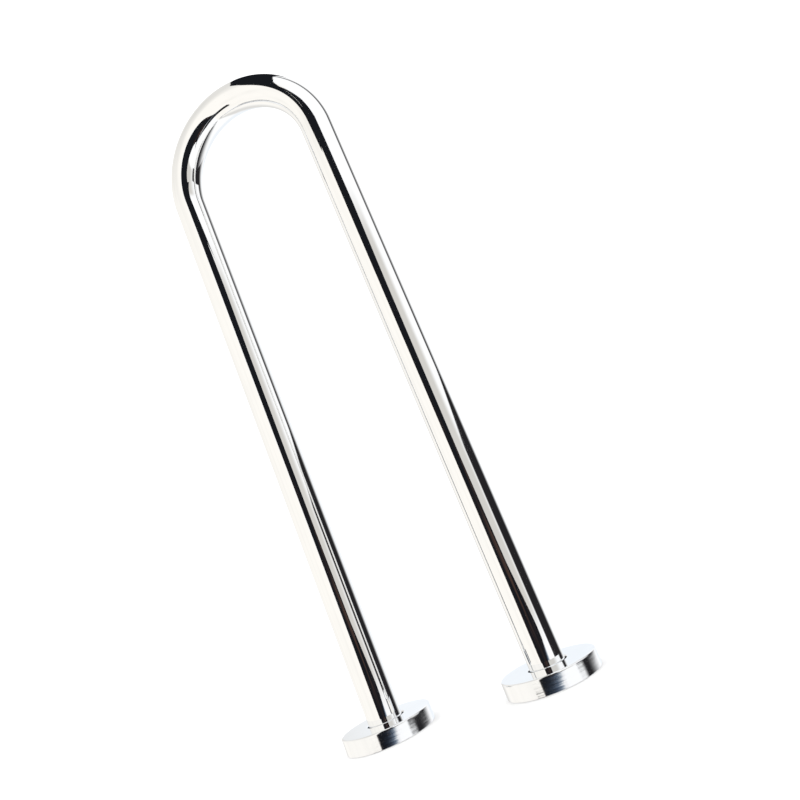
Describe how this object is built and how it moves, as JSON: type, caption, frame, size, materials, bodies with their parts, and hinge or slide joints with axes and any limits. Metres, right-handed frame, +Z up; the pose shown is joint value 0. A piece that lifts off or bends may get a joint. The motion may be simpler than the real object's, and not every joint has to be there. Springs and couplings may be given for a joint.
{
  "type": "pool handrail",
  "caption": "Polished steel hairpin pool handrail: one bent tube welded to round base flanges, each screwed into wall plugs and hidden by a deep round cover that slides up its leg.",
  "frame": {"origin": "middle of the left flange's underside, on the surface that both flanges stand on", "axes": "+Z up along the legs, +X from the left leg to the right leg, +Y through the rail from front to back"},
  "size_m": [0.245, 0.085, 0.6823],
  "materials": {
    "polished_tube": "mirror-polished stainless steel with very fine drawing marks",
    "polished_cover": "mirror-polished pressed stainless sheet",
    "brushed_flange": "turned and brushed stainless plate",
    "weld": "rippled weld bead with a straw heat tint",
    "ring_rubber": "matt black rubber",
    "screw_steel": "bright zinc-plated steel",
    "plug_nylon": "light green moulded nylon, slightly waxy"
  },
  "bodies": {
    "rail": {"rail_tube": "polished_tube", "flange_left": "brushed_flange", "weld_bead_left": "weld", "screw_left_1": "screw_steel", "wall_plug_left_1": "plug_nylon", "screw_left_2": "screw_steel", "wall_plug_left_2": "plug_nylon", "screw_left_3": "screw_steel", "wall_plug_left_3": "plug_nylon", "flange_right": "brushed_flange", "weld_bead_right": "weld", "screw_right_1": "screw_steel", "wall_plug_right_1": "plug_nylon", "screw_right_2": "screw_steel", "wall_plug_right_2": "plug_nylon", "screw_right_3": "screw_steel", "wall_plug_right_3": "plug_nylon"},
    "left_ring": {"grip_ring_left": "ring_rubber"},
    "left_cover": {"cover_left": "polished_cover"},
    "right_ring": {"grip_ring_right": "ring_rubber"},
    "right_cover": {"cover_right": "polished_cover"}
  },
  "joints": [
    {"name": "left_cover_lift", "type": "slide", "parent": "rail", "child": "left_ring", "axis": [0, 0, 1], "range_m": [0, 0.54]},
    {"name": "left_cover_turn", "type": "hinge", "parent": "left_ring", "child": "left_cover", "pos_m": [0, 0, 0.01], "axis": [0, 0, 1], "continuous": true},
    {"name": "right_cover_lift", "type": "slide", "parent": "rail", "child": "right_ring", "axis": [0, 0, 1], "range_m": [0, 0.54]},
    {"name": "right_cover_turn", "type": "hinge", "parent": "right_ring", "child": "right_cover", "pos_m": [0.16, 0, 0.01], "axis": [0, 0, 1], "continuous": true}
  ]
}
